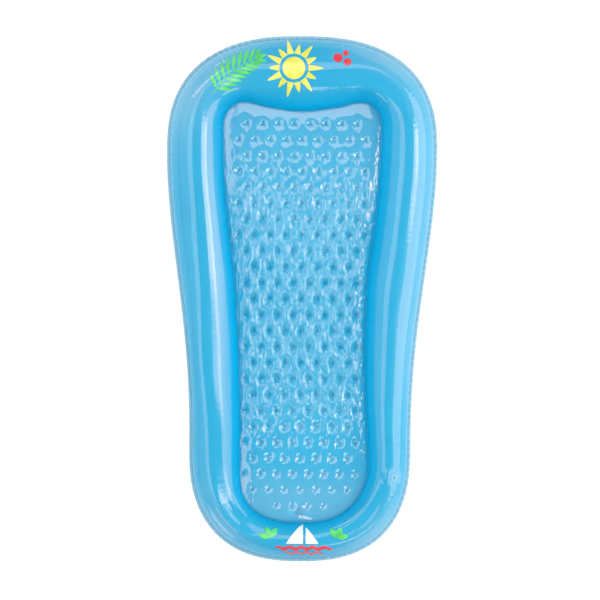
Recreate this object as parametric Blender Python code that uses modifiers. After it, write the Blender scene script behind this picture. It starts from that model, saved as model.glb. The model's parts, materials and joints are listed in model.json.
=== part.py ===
"""Inflatable swim float mat: a tapered air ring around a dimpled lying bed, with two push-in valves.

Units are metres and +Z is up. The mat lies on the floor at z = 0 with its head end towards +Y.
The origin is on the floor under the middle of the mat.

The ring is two vinyl sheets welded together along an outer and an inner seam. The bed is two more
sheets, welded into the inner seam and to each other at rows of small dots. Each chamber has a valve:
the ring's on top near the foot, the bed's underneath at the foot.
"""

import math

import bmesh
import bpy
import numpy as np
from mathutils import Matrix, Vector
from mathutils.geometry import delaunay_2d_cdt

# Outline of the mat, seen from above
MAT_LENGTH = 1.780
HEAD_WIDTH = 0.916
FOOT_WIDTH = 0.751
HEAD_CURVE_DEPTH = 0.386
FOOT_CURVE_DEPTH = 0.384
CURVE_POWER = 2.5
TAPER_POWER = 1.3

# Air ring: widths run from the outer seam to the inner seam, heights from the floor to the crest
SIDE_TUBE_WIDTH = 0.182
PILLOW_WIDTH = 0.246
FOOT_TUBE_WIDTH = 0.122
HEAD_TUBE_HEIGHT = 0.200
FOOT_TUBE_HEIGHT = 0.140

# How far the tube has gone over to the pillow's width, and to the foot's width, along half the outline
PILLOW_SHARES = ((0.00, 1.00), (0.045, 0.82), (0.085, 0.50), (0.12, 0.06), (0.20, -0.20), (0.30, 0.00))
FOOT_SHARES = ((0.48, 0.00), (0.66, 0.34), (0.74, 0.52), (0.86, 0.72), (1.00, 1.00))

# Vinyl sheet and the gap between touching pieces
SHEET_THICKNESS = 0.0004
SEAT_GAP = 0.0003

# Welded seams: a seam is two fused sheets, and reaches a little under the sheets that it joins
OUTER_SEAM_WIDTH = 0.008
INNER_SEAM_WIDTH = 0.006
SEAM_LAP = 0.003

# Lying bed with its weld dots
BED_CROWN = 0.016
BED_EDGE_INSET = 0.008
BED_EDGE_HEIGHT = 0.011
DOT_PITCH = 0.0535
ROW_PITCH = 0.0541
HEAD_TO_FIRST_ROW = 0.294
DOT_FIELD_WIDTH = 0.440
LAST_ROW_WIDTH = 0.170
DOT_MARGIN = 0.017
CREST_MARGIN = 0.015

# Push-in valve, the same on both chambers
VALVE_FLANGE_RADIUS = 0.0145
VALVE_FLANGE_THICKNESS = 0.0010
SLEEVE_BORE_RADIUS = 0.0065
SLEEVE_WALL = 0.0010
SLEEVE_DEPTH = 0.0100
NECK_RADIUS = 0.0060
NECK_BORE_RADIUS = 0.0037
NECK_DEPTH = 0.0130
COLLAR_RADIUS = 0.0125
COLLAR_THICKNESS = 0.0012
PLUG_CAP_RADIUS = 0.0062
PLUG_CAP_THICKNESS = 0.0018
PLUG_PIN_RADIUS = 0.0032
PLUG_TIP_RADIUS = 0.0024
PLUG_PIN_LENGTH = 0.0040
STRAP_WIDTH = 0.0040
STRAP_THICKNESS = 0.0010
HINGE_OFFSET = 0.0100
ANCHOR_LENGTH = 0.0018
TAB_LENGTH = 0.0022
TAB_THICKNESS = 0.0008
FLAP_RADIUS = 0.0052
FLAP_THICKNESS = 0.0006

# Where the valves are: on the ring along half its outline and across the tube, and on the bed from its foot rim
RING_VALVE_ARC_SHARE = 0.775
RING_VALVE_ACROSS_SHARE = 0.36
BED_VALVE_TO_RIM = 0.031
VALVE_PAD_RADIUS = 0.0200
VALVE_PAD_DEPTH = 0.0140
VALVE_PAD_MARGIN = 0.0060

# Counts: facets round the mat and over half a tube, rows of dots, sides of round pieces
AROUND = 76
TUBE_FACETS = 7
DOT_ROWS = 25
ROUND_SIDES = 24
PAD_SIDES = 8
OUTLINE_STEPS = 400

# A cutter's overrun past the sheet that it cuts, and the least distance between two points
CUT_OVERRUN = 0.004
LEAST_DISTANCE = 0.000001

HALF_LENGTH = MAT_LENGTH / 2
SEAM_LIFT = SHEET_THICKNESS + SEAT_GAP

# Colours as linear RGB
VINYL_BLUE = (0.030, 0.390, 0.745)
SEAM_BLUE = (0.060, 0.450, 0.780)
VALVE_CLEAR = (0.330, 0.620, 0.820)


def smooth_table(shares, x):
    """Value at x of a table of (place, value), eased between its places and level outside them."""
    places = [place for place, _ in shares]
    values = [value for _, value in shares]
    slopes = np.gradient(values, places)
    slopes[0] = slopes[-1] = 0.0
    x = min(max(x, places[0]), places[-1])
    i = min(np.searchsorted(places, x, side="right") - 1, len(places) - 2)
    span = places[i + 1] - places[i]
    t = (x - places[i]) / span
    return (
        values[i] * (1 + 2 * t) * (1 - t) ** 2
        + values[i + 1] * t * t * (3 - 2 * t)
        + slopes[i] * span * t * (1 - t) ** 2
        - slopes[i + 1] * span * t * t * (1 - t)
    )


def tube_height(y):
    """Height of the tube's crest, which falls evenly from the head to the foot."""
    return FOOT_TUBE_HEIGHT + (HEAD_TUBE_HEIGHT - FOOT_TUBE_HEIGHT) * (y + HALF_LENGTH) / MAT_LENGTH


def seam_height(y):
    """Height of the seams and of the bed's middle plane: half the tube's height."""
    return tube_height(y) / 2


def tube_width(share):
    """Width of the tube at a share of the half outline, counted from the head."""
    pillow = smooth_table(PILLOW_SHARES, share)
    foot = smooth_table(FOOT_SHARES, share)
    return (
        SIDE_TUBE_WIDTH
        + (PILLOW_WIDTH - SIDE_TUBE_WIDTH) * pillow
        + (FOOT_TUBE_WIDTH - SIDE_TUBE_WIDTH) * foot
    )


def half_outline():
    """Right half of the outline as closely spaced points, from the head's middle to the foot's."""
    head_y = HALF_LENGTH - HEAD_CURVE_DEPTH
    foot_y = FOOT_CURVE_DEPTH - HALF_LENGTH
    power = 2 / CURVE_POWER
    angles = np.linspace(0, math.pi / 2, OUTLINE_STEPS)
    across = np.clip(np.cos(angles), 0, 1) ** power
    along = np.sin(angles) ** power
    head = np.column_stack([HEAD_WIDTH / 2 * across, head_y + HEAD_CURVE_DEPTH * along])[::-1]
    foot = np.column_stack([FOOT_WIDTH / 2 * across, foot_y - FOOT_CURVE_DEPTH * along])
    down = np.linspace(1, 0, OUTLINE_STEPS)[1:-1]
    eased = (3 * down**2 - 2 * down**3) ** TAPER_POWER
    sides = np.column_stack(
        [FOOT_WIDTH / 2 + (HEAD_WIDTH - FOOT_WIDTH) / 2 * eased, foot_y + (head_y - foot_y) * down]
    )
    return np.concatenate([head, sides, foot])


class Outline:
    """The mat's outline as AROUND evenly spaced stations: place, outward normal and tube width."""

    def __init__(self):
        dense = half_outline()
        lengths = np.concatenate([[0], np.cumsum(np.linalg.norm(np.diff(dense, axis=0), axis=1))])
        shares = lengths / lengths[-1]
        stations = np.linspace(0, 1, AROUND // 2 + 1)
        points = np.column_stack([np.interp(stations, shares, dense[:, i]) for i in (0, 1)])
        reach = 1 / AROUND
        ahead = np.column_stack([np.interp(stations + reach, shares, dense[:, i]) for i in (0, 1)])
        behind = np.column_stack([np.interp(stations - reach, shares, dense[:, i]) for i in (0, 1)])
        tangents = ahead - behind
        normals = np.column_stack([-tangents[:, 1], tangents[:, 0]])
        normals[0], normals[-1] = (0, 1), (0, -1)
        normals /= np.linalg.norm(normals, axis=1)[:, None]
        widths = np.array([tube_width(share) for share in stations])
        mirror = np.array([-1, 1])
        self.points = np.concatenate([points, (points * mirror)[-2:0:-1]])
        self.normals = np.concatenate([normals, (normals * mirror)[-2:0:-1]])
        self.widths = np.concatenate([widths, widths[-2:0:-1]])

    def inset(self, tube_share, extra):
        """Points that lie inside the outline by tube_share of the tube's width plus extra."""
        depth = self.widths * tube_share + extra
        return self.points - self.normals * depth[:, None]


def loop_at(flat_points, height_of):
    """A loop of 3-D points over flat ones, each at the height that height_of gives for its y."""
    return [Vector((x, y, height_of(y))) for x, y in flat_points]


def new_object(name, mesh, collection, material=None, parent=None):
    obj = bpy.data.objects.new(name, mesh)
    collection.objects.link(obj)
    obj.parent = parent
    if material is not None:
        mesh.materials.append(material)
    return obj


def mesh_from(bm, name):
    bmesh.ops.recalc_face_normals(bm, faces=bm.faces)
    mesh = bpy.data.meshes.new(name)
    bm.to_mesh(mesh)
    bm.free()
    return mesh


def loft(name, loops):
    """An open surface of triangles from loop to loop. Its normals lie to the left of the loops' order."""
    bm = bmesh.new()
    rows = [[bm.verts.new(point) for point in loop] for loop in loops]
    for row, following in zip(rows, rows[1:]):
        for i in range(len(row)):
            j = (i + 1) % len(row)
            bm.faces.new((row[i], row[j], following[j]))
            bm.faces.new((row[i], following[j], following[i]))
    mesh = bpy.data.meshes.new(name)
    bm.to_mesh(mesh)
    bm.free()
    return mesh


def thicken(obj, thickness, offset):
    """Gives a surface its thickness: inwards for an offset of -1, and to both sides alike for 0."""
    film = obj.modifiers.new("film", "SOLIDIFY")
    film.thickness = thickness
    film.offset = offset
    film.use_even_offset = True
    return obj


def tube_profile():
    """(across, rise) over half a tube, from its outer to its inner seam, with a level middle facet."""
    angles = [math.pi * i / TUBE_FACETS for i in range(TUBE_FACETS + 1)]
    highest = max(math.sin(angle) for angle in angles)
    return [(math.cos(angle), math.sin(angle) / highest) for angle in angles]


def tube_loop(outline, across, rise, side):
    """One loop along a ring sheet's outer surface. side is 1 on top and -1 below."""

    def height(y):
        middle = seam_height(y)
        return middle + side * (SEAM_LIFT + (middle - SEAM_LIFT) * rise)

    return loop_at(outline.inset((1 - across) / 2, OUTER_SEAM_WIDTH), height)


def ring_loops(outline, side):
    """The loops of a ring sheet's outer surface, from the outer seam over the tube to the inner one."""
    return [tube_loop(outline, across, rise, side) for across, rise in tube_profile()]


def seam_loops(outline, *insets):
    """The loops of a flat seam's middle plane, each inset as (share of the tube's width, extra)."""
    return [loop_at(outline.inset(*inset), seam_height) for inset in insets]


def depth_inside(point, loop):
    """Distance from a flat point to a closed loop of flat points, negative outside it."""
    starts, ends = loop, np.roll(loop, -1, axis=0)
    spans = ends - starts
    along = ((point - starts) * spans).sum(axis=1) / (spans**2).sum(axis=1)
    nearest = starts + spans * np.clip(along, 0, 1)[:, None]
    distance = np.linalg.norm(nearest - point, axis=1).min()
    straddles = (starts[:, 1] > point[1]) != (ends[:, 1] > point[1])
    slopes = spans[straddles]
    crossings = starts[straddles, 0] + slopes[:, 0] * (point[1] - starts[straddles, 1]) / slopes[:, 1]
    inside = (crossings > point[0]).sum() % 2 == 1
    return distance if inside else -distance


class SheetPlan:
    """Flat points of a bed sheet, each with its lift off the middle plane, and the folds that join them."""

    def __init__(self):
        self.places = []
        self.lifts = []
        self.folds = []

    def add(self, place, lift):
        self.places.append(Vector((float(place[0]), float(place[1]))))
        self.lifts.append(lift)
        return len(self.places) - 1

    def add_loop(self, loop, lift_at):
        """Adds a closed loop of points, lifted as lift_at says for each point's y."""
        indices = [self.add(place, lift_at(place[1])) for place in loop]
        self.folds += list(zip(indices, indices[1:] + indices[:1]))


def add_dots(plan, rim, is_free):
    """Adds the weld dots in staggered rows, a crest between each two, and a ridge from crest to crest."""
    first_y = HALF_LENGTH - HEAD_TO_FIRST_ROW
    reach = int(HEAD_WIDTH / DOT_PITCH) + 1
    dot_lift = SHEET_THICKNESS + SEAT_GAP / 2
    crests = {}
    for row in range(-1, DOT_ROWS + 1):
        for step in range(-reach, reach + 1):
            place = np.array([step * DOT_PITCH / 2, first_y - row * ROW_PITCH])
            depth = depth_inside(place, rim)
            if depth < CREST_MARGIN or not is_free(place):
                continue
            if (step + row) % 2 == 0:
                crests[row, step] = plan.add(place, BED_CROWN)
                continue
            row_width = LAST_ROW_WIDTH if row == DOT_ROWS - 1 else DOT_FIELD_WIDTH
            in_field = 0 <= row < DOT_ROWS and abs(place[0]) <= row_width / 2
            plan.add(place, dot_lift if in_field and depth >= DOT_MARGIN else BED_CROWN)
    for (row, step), crest in crests.items():
        for neighbour in ((row + 1, step - 1), (row + 1, step + 1)):
            if neighbour in crests:
                plan.folds.append((crest, crests[neighbour]))


def plan_bed(outline, side, pad_centre=None):
    """The plan of one bed sheet, with a level pad for a valve where pad_centre says."""
    plan = SheetPlan()
    rim = outline.inset(1, OUTER_SEAM_WIDTH + INNER_SEAM_WIDTH)
    edge = outline.inset(1, OUTER_SEAM_WIDTH + INNER_SEAM_WIDTH + BED_EDGE_INSET)
    plan.add_loop(rim, lambda y: SEAM_LIFT + SHEET_THICKNESS)
    plan.add_loop(edge, lambda y: BED_EDGE_HEIGHT)
    keep_off = 0 if pad_centre is None else VALVE_PAD_RADIUS + VALVE_PAD_MARGIN
    add_dots(plan, rim, lambda place: not keep_off or np.linalg.norm(place - pad_centre) >= keep_off)
    if pad_centre is not None:
        middle = seam_height(pad_centre[1])
        angles = 2 * math.pi * (np.arange(PAD_SIDES) + 0.5) / PAD_SIDES
        pad = pad_centre + VALVE_PAD_RADIUS * np.column_stack([np.cos(angles), np.sin(angles)])
        plan.add_loop(pad, lambda y: VALVE_PAD_DEPTH + side * (middle - seam_height(y)))
    return plan, range(len(rim))


def bed_sheet(name, outline, side, pad_centre=None):
    """A bed sheet as a thin dimpled shell. side is 1 for the top sheet and -1 for the bottom one.

    Folds only cross in the narrow band by the edge, so a point made by a crossing has the edge's height.
    """
    plan, rim = plan_bed(outline, side, pad_centre)
    points, _, faces, sources, _, _ = delaunay_2d_cdt(plan.places, plan.folds, [rim], 1, LEAST_DISTANCE)
    bm = bmesh.new()
    for point, source in zip(points, sources):
        lift = plan.lifts[source[0]] if source else BED_EDGE_HEIGHT
        bm.verts.new((point.x, point.y, seam_height(point.y) + side * lift))
    bm.verts.ensure_lookup_table()
    for face in faces:
        bm.faces.new([bm.verts[i] for i in face])
    made = bmesh.ops.extrude_face_region(bm, geom=bm.faces[:])["geom"]
    inner = [v for v in made if isinstance(v, bmesh.types.BMVert)]
    bmesh.ops.translate(bm, verts=inner, vec=(0, 0, -side * SHEET_THICKNESS))
    return mesh_from(bm, name)


def facet_frame(loops, station, facet):
    """A frame on the middle of one facet of a ring sheet, z outwards and x along the tube."""
    following = (station + 1) % len(loops[0])
    near, far = loops[facet], loops[facet + 1]
    corners = [near[station], near[following], far[following], far[station]]
    centre = sum(corners, Vector()) / len(corners)
    along = ((corners[1] + corners[2]) - (corners[0] + corners[3])).normalized()
    outwards = (corners[2] - corners[0]).cross(corners[3] - corners[1]).normalized()
    if outwards.z < 0:
        outwards = -outwards
    return frame_at(centre, along, outwards)


def frame_at(origin, along, outwards):
    side = outwards.cross(along).normalized()
    along = side.cross(outwards)
    turn = Matrix((along, side, outwards)).transposed().to_4x4()
    return Matrix.Translation(origin) @ turn


def vinyl(name, colour, roughness, alpha=1.0):
    material = bpy.data.materials.new(name)
    material.use_nodes = True
    shader = material.node_tree.nodes["Principled BSDF"]
    shader.inputs["Base Color"].default_value = (*colour, 1.0)
    shader.inputs["Roughness"].default_value = roughness
    shader.inputs["Metallic"].default_value = 0.0
    shader.inputs["Alpha"].default_value = alpha
    return material


def turned(name, profile, collection, material, parent, shift=(0, 0, 0)):
    """A turned piece from (radius, height) points that run down its outer side."""
    mesh = bpy.data.meshes.new(name)
    edges = [(i, i + 1) for i in range(len(profile) - 1)]
    if profile[0][0] > 0:
        edges.append((len(profile) - 1, 0))
    mesh.from_pydata([(radius, 0, height) for radius, height in profile], edges, [])
    obj = new_object(name, mesh, collection, material, parent)
    obj.location = shift
    screw = obj.modifiers.new("turn", "SCREW")
    screw.steps = screw.render_steps = ROUND_SIDES
    screw.use_merge_vertices = True
    screw.merge_threshold = SHEET_THICKNESS / 50
    return obj


def block(name, low, high):
    """A box mesh between two corners."""
    bm = bmesh.new()
    bmesh.ops.create_cube(bm, size=1.0)
    low, high = Vector(low), Vector(high)
    bmesh.ops.scale(bm, vec=high - low, verts=bm.verts)
    bmesh.ops.translate(bm, vec=(low + high) / 2, verts=bm.verts)
    return mesh_from(bm, name)


def empty(name, collection, parent=None, location=(0, 0, 0)):
    obj = bpy.data.objects.new(name, None)
    obj.empty_display_size = COLLAR_RADIUS
    collection.objects.link(obj)
    obj.parent = parent
    obj.location = location
    return obj


def hidden(obj):
    obj.hide_render = True
    obj.display_type = "WIRE"
    return obj


def join_with(obj, other):
    """Fuses other into obj, for a feature that is moulded in one with its piece."""
    union = obj.modifiers.new(other.name, "BOOLEAN")
    union.operation = "UNION"
    union.object = hidden(other)


def cut_hole(obj, frame, cutters):
    """Cuts the round hole that a valve's neck passes through."""
    mesh = bpy.data.meshes.new(obj.name + "_hole")
    bm = bmesh.new()
    bmesh.ops.create_cone(
        bm,
        cap_ends=True,
        segments=ROUND_SIDES,
        radius1=SLEEVE_BORE_RADIUS,
        radius2=SLEEVE_BORE_RADIUS,
        depth=SHEET_THICKNESS + 2 * CUT_OVERRUN,
    )
    bm.to_mesh(mesh)
    bm.free()
    cutter = hidden(new_object(mesh.name, mesh, cutters))
    cutter.matrix_world = frame
    cut = obj.modifiers.new("valve hole", "BOOLEAN")
    cut.operation = "DIFFERENCE"
    cut.object = cutter


def valve(prefix, frame, collection, cutters, material):
    """A push-in valve in its own frame: z points out of the chamber, and z = 0 is the sheet's skin."""
    seat = empty(prefix + "_seat", collection)
    seat.matrix_world = frame

    flange_top = -SHEET_THICKNESS - SEAT_GAP
    flange_low = flange_top - VALVE_FLANGE_THICKNESS
    sleeve_low = flange_low - SLEEVE_DEPTH
    sleeve_radius = SLEEVE_BORE_RADIUS + SLEEVE_WALL
    boot = [
        (VALVE_FLANGE_RADIUS, flange_top),
        (VALVE_FLANGE_RADIUS, flange_low),
        (sleeve_radius, flange_low),
        (sleeve_radius, sleeve_low),
        (SLEEVE_BORE_RADIUS, sleeve_low),
        (SLEEVE_BORE_RADIUS, flange_top),
    ]
    turned(prefix + "_boot", boot, collection, material, seat)

    collar_low = SEAT_GAP
    collar_top = collar_low + COLLAR_THICKNESS
    neck_low = collar_top - NECK_DEPTH
    neck_profile = [
        (COLLAR_RADIUS, collar_top),
        (COLLAR_RADIUS, collar_low),
        (NECK_RADIUS, collar_low),
        (NECK_RADIUS, neck_low),
        (NECK_BORE_RADIUS, neck_low),
        (NECK_BORE_RADIUS, collar_top),
    ]
    neck = turned(prefix + "_neck", neck_profile, collection, material, seat)
    hinge_z = collar_top + SEAT_GAP + STRAP_THICKNESS
    anchor_end = -HINGE_OFFSET - SEAT_GAP / 2
    anchor = new_object(
        prefix + "_anchor",
        block(
            prefix + "_anchor",
            (anchor_end - ANCHOR_LENGTH, -STRAP_WIDTH / 2, collar_low + COLLAR_THICKNESS / 2),
            (anchor_end, STRAP_WIDTH / 2, hinge_z),
        ),
        cutters,
        parent=seat,
    )
    join_with(neck, anchor)

    hinge = empty(prefix + "_hinge", collection, neck, (-HINGE_OFFSET, 0, hinge_z))
    from_hinge = (HINGE_OFFSET, 0, -hinge_z)
    cap_low = collar_top + SEAT_GAP
    cap_top = cap_low + PLUG_CAP_THICKNESS
    pin_low = cap_low - PLUG_PIN_LENGTH
    plug_profile = [
        (0, cap_top),
        (PLUG_CAP_RADIUS, cap_top),
        (PLUG_CAP_RADIUS, cap_low),
        (PLUG_PIN_RADIUS, cap_low),
        (PLUG_TIP_RADIUS, pin_low),
        (0, pin_low),
    ]
    plug = turned(prefix + "_plug", plug_profile, collection, material, hinge, from_hinge)
    tab = new_object(
        prefix + "_tab",
        block(
            prefix + "_tab",
            (PLUG_CAP_RADIUS / 2, -STRAP_WIDTH / 2, cap_top - SEAT_GAP - TAB_THICKNESS),
            (PLUG_CAP_RADIUS + TAB_LENGTH, STRAP_WIDTH / 2, cap_top - SEAT_GAP),
        ),
        cutters,
        parent=hinge,
    )
    tab.location = from_hinge
    join_with(plug, tab)

    strap = block(
        prefix + "_strap",
        (-HINGE_OFFSET + SEAT_GAP / 2, -STRAP_WIDTH / 2, hinge_z - STRAP_THICKNESS),
        (-PLUG_CAP_RADIUS - SEAT_GAP, STRAP_WIDTH / 2, hinge_z),
    )
    strap = new_object(prefix + "_strap", strap, collection, material, hinge)
    strap.location = from_hinge

    flap_top = neck_low - SEAT_GAP
    flap_hinge = empty(prefix + "_flap_hinge", collection, neck, (-FLAP_RADIUS, 0, flap_top))
    flap_profile = [
        (0, flap_top),
        (FLAP_RADIUS, flap_top),
        (FLAP_RADIUS, flap_top - FLAP_THICKNESS),
        (0, flap_top - FLAP_THICKNESS),
    ]
    from_flap_hinge = (FLAP_RADIUS, 0, -flap_top)
    turned(prefix + "_flap", flap_profile, collection, material, flap_hinge, from_flap_hinge)


def clear_scene():
    for obj in list(bpy.data.objects):
        bpy.data.objects.remove(obj, do_unlink=True)


def main():
    clear_scene()
    mat = bpy.data.collections.new("swim_float_mat")
    cutters = bpy.data.collections.new("cutters")
    for collection in (mat, cutters):
        bpy.context.scene.collection.children.link(collection)
    outline = Outline()
    sheet_vinyl = vinyl("sheet_vinyl", VINYL_BLUE, 0.16, 0.85)
    seam_vinyl = vinyl("seam_vinyl", SEAM_BLUE, 0.30)
    valve_vinyl = vinyl("valve_vinyl", VALVE_CLEAR, 0.25)

    top_loops = ring_loops(outline, 1)
    ring_top = new_object("ring_top_sheet", loft("ring_top_sheet", top_loops[::-1]), mat, sheet_vinyl)
    thicken(ring_top, SHEET_THICKNESS, -1)
    ring_low = loft("ring_bottom_sheet", ring_loops(outline, -1))
    ring_low = new_object("ring_bottom_sheet", ring_low, mat, sheet_vinyl)
    thicken(ring_low, SHEET_THICKNESS, -1)

    seams = {
        "outer_weld_seam": ((0, 0), (0, OUTER_SEAM_WIDTH + SEAM_LAP)),
        "inner_weld_seam": (
            (1, OUTER_SEAM_WIDTH - SEAM_LAP),
            (1, OUTER_SEAM_WIDTH + INNER_SEAM_WIDTH + SEAM_LAP),
        ),
    }
    for name, insets in seams.items():
        seam = new_object(name, loft(name, seam_loops(outline, *insets)), mat, seam_vinyl)
        thicken(seam, 2 * SHEET_THICKNESS, 0)

    foot_rim = OUTER_SEAM_WIDTH + FOOT_TUBE_WIDTH + INNER_SEAM_WIDTH - HALF_LENGTH
    bed_valve_spot = np.array([0, foot_rim + BED_VALVE_TO_RIM])
    bed_top = bed_sheet("bed_top_sheet", outline, 1)
    new_object("bed_top_sheet", bed_top, mat, sheet_vinyl)
    bed_low = bed_sheet("bed_bottom_sheet", outline, -1, bed_valve_spot)
    bed_low = new_object("bed_bottom_sheet", bed_low, mat, sheet_vinyl)

    station = round(RING_VALVE_ARC_SHARE * AROUND / 2 - 0.5)
    facet = int(RING_VALVE_ACROSS_SHARE * TUBE_FACETS)
    ring_frame = facet_frame(top_loops, station, facet)
    cut_hole(ring_top, ring_frame, cutters)
    valve("ring_valve", ring_frame, mat, cutters, valve_vinyl)

    pad_z = seam_height(bed_valve_spot[1]) - VALVE_PAD_DEPTH
    bed_frame = frame_at(Vector((*bed_valve_spot, pad_z)), Vector((1, 0, 0)), Vector((0, 0, -1)))
    cut_hole(bed_low, bed_frame, cutters)
    valve("bed_valve", bed_frame, mat, cutters, valve_vinyl)


main()
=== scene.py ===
"""Looks of the swim float mat: its films, seams, prints and valves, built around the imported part.

Metres throughout, +Z up, the head end towards +Y, as in the part. The films follow the same outline
as the part's sheets and nearly the same tube widths, at a finer pitch and with the puckers, folds
and dimples that blown-up vinyl has.
"""

import json
import math

import bmesh
import bpy
import numpy as np
from mathutils import Matrix, Vector, noise
from mathutils.bvhtree import BVHTree
from mathutils.kdtree import KDTree

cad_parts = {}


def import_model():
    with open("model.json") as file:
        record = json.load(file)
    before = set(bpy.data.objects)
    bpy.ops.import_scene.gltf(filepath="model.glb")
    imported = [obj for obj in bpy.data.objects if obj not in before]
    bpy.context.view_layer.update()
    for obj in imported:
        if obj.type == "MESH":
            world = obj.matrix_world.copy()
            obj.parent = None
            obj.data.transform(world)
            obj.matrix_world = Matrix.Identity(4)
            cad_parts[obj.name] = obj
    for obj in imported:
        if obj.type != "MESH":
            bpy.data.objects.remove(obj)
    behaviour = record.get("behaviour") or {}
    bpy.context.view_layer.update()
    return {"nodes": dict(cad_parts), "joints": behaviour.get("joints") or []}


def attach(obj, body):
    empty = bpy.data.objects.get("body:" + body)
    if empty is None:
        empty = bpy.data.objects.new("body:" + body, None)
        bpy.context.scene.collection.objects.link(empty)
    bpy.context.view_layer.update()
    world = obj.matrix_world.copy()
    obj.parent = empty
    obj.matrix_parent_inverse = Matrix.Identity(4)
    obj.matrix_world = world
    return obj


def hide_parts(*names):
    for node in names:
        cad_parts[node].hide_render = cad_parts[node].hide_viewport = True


# Outline and air ring, as in the part
MAT_LENGTH = 1.780
HALF_LENGTH = MAT_LENGTH / 2
HEAD_WIDTH = 0.916
FOOT_WIDTH = 0.751
HEAD_CURVE_DEPTH = 0.386
FOOT_CURVE_DEPTH = 0.384
CURVE_POWER = 2.5
TAPER_POWER = 1.3
SIDE_TUBE_WIDTH = 0.182
PILLOW_WIDTH = 0.246
FOOT_TUBE_WIDTH = 0.122
HEAD_TUBE_HEIGHT = 0.200
FOOT_TUBE_HEIGHT = 0.140

# Sheets and welds, as in the part
SHEET_THICKNESS = 0.0004
SEAT_GAP = 0.0003
SEAM_LIFT = 0.0007
OUTER_SEAM_WIDTH = 0.008
INNER_SEAM_WIDTH = 0.006
SEAM_LAP = 0.003

# Weld dots, and the pad that the bed's valve is welded to, as in the part
DOT_PITCH = 0.0535
ROW_PITCH = 0.0541
DOT_ROWS = 25
HEAD_TO_FIRST_ROW = 0.294
DOT_FIELD_WIDTH = 0.440
LAST_ROW_WIDTH = 0.170
DOT_MARGIN = 0.017
BED_VALVE_TO_RIM = 0.031
VALVE_PAD_RADIUS = 0.020
VALVE_PAD_DEPTH = 0.014

# How far the tube has gone over to the pillow's width, and to the foot's, along half the outline
PILLOW_SHARES = (
    (0.00, 1.00), (0.045, 0.82), (0.085, 0.50),
    (0.12, 0.06), (0.20, -0.20), (0.30, 0.00),
)
FOOT_SHARES = (
    (0.48, 0.00), (0.56, 0.19), (0.66, 0.44),
    (0.74, 0.57), (0.86, 0.72), (1.00, 1.00),
)

# Height of the blown-up bed's crown, and the share of it at places along the mat
BED_CROWN = 0.0125
BED_CROWN_SHARES = (
    (-0.67, 0.36), (-0.60, 0.60), (-0.52, 0.80), (-0.42, 1.0),
    (0.28, 1.0), (0.42, 0.66), (0.54, 0.46),
)

# How far the blown-up bed lies off the mat's middle line, at places along the mat
BED_LEAN = (
    (-0.78, 0.0), (-0.67, 0.006), (-0.60, 0.0145), (-0.50, 0.014),
    (-0.29, 0.0075), (-0.12, 0.003), (0.06, 0.0),
)

# Films at the valves: the bed's upper film swells over its valve, the lower one runs out of the
# valve's pad over a short way, and the ring's film lies level on the ring valve's flange
VALVE_SWELL_HEIGHT = 0.0050
VALVE_SWELL_REACH = 0.042
VALVE_PAD_BLEND = 0.012
VALVE_SEAT_RADIUS = 0.0235
VALVE_SEAT_BLEND = 0.0180

# How finely the films are modelled, in steps
OUTLINE_STEPS = 400
TOP_AROUND, TOP_ACROSS = 1216, 34
LOW_AROUND, LOW_ACROSS = 608, 20
SEAM_AROUND, SEAM_ACROSS = 1216, 3
BED_ACROSS, BED_ALONG = 200, 240
LOW_BED_ACROSS, LOW_BED_ALONG = 80, 200

# Share of the outline, to each side, over which its direction is taken
NORMAL_REACH = 0.0065

# Half the arc of the tube's round top, in radians: a little under a quarter turn
TUBE_HALF_ARC = 1.45

# How far the left tube's crest is pushed out, and where round the outline, with its reach
CREST_PUSH = 0.026
CREST_PLACE = (0.702, 0.065)

# Least height of a film over the floor
FLOOR_GAP = 0.0002

# Puckers along the welds. The inner weld's loop is a share of the outline's length. Waves round a
# loop are (size, times round, share of the seed that shifts them).
OUTER_PUCKER_PITCH = 0.0235
INNER_PUCKER_PITCH = 0.0310
OUTER_PUCKER_HEIGHT = 0.0016
INNER_PUCKER_HEIGHT = 0.0013
LEAST_PUCKER = 0.4
PUCKER_REACH = 0.011
INNER_LOOP_SHARE = 0.76
PUCKER_DRIFT = ((1.7, 9, 1.0), (1.1, 23, 2.3), (0.6, 47, 0.0))
SWELL_WAVES = ((1, 5, 1.0), (1, 11, 1.9), (1, 17, 0.7))
OUTER_SEED, INNER_SEED, OUTER_SWELL_SEED, INNER_SWELL_SEED = 1.0, 2.0, 3.0, 5.0

# Waves of the outer weld, and how much more its free edge stands up
SEAM_WAVE_HEIGHT = 0.0011
SEAM_WAVE_DEPTH = 0.0010
EDGE_WAVE = 1.3

# Bends of the ring, as (place, reach) along half the outline. Folds along the tube: their height
# everywhere and in a bend, and how they drift, as (size, times round). Slow rolls round the tube.
HEAD_BEND, FOOT_BEND = (0.14, 0.07), (0.87, 0.07)
FOLD_HEIGHT = 0.0002
BEND_FOLD_HEIGHT = 0.0052
FOLDS_ACROSS = 6.2
FOLD_DRIFT = (0.8, 3)
ROLL_HEIGHT = 0.0006
ROLLS_AROUND = 13

# Edge of the bed's films: how far in it rounds, and its gap to the ring's films
BED_ROUND_EDGE = 0.046
RIM_GAP = 0.0015

# Dimples at the weld dots, which are longest round the middle row, and end within the span
DOT_RADIUS = 0.0042
DOT_SLOPE_REACH = 0.0070
DIMPLE_STRETCH = 0.5
STRETCHED_ROWS = (12, 7)
DIMPLE_SPAN = (0.06, 0.08)

# Discs where the bed's films are welded together
WELD_DISC_RADIUS = 0.0044
WELD_DISC_LIFT = 0.0003
WELD_DISC_THICKNESS = 0.0002
WELD_DISC_SIDES = 12

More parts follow.
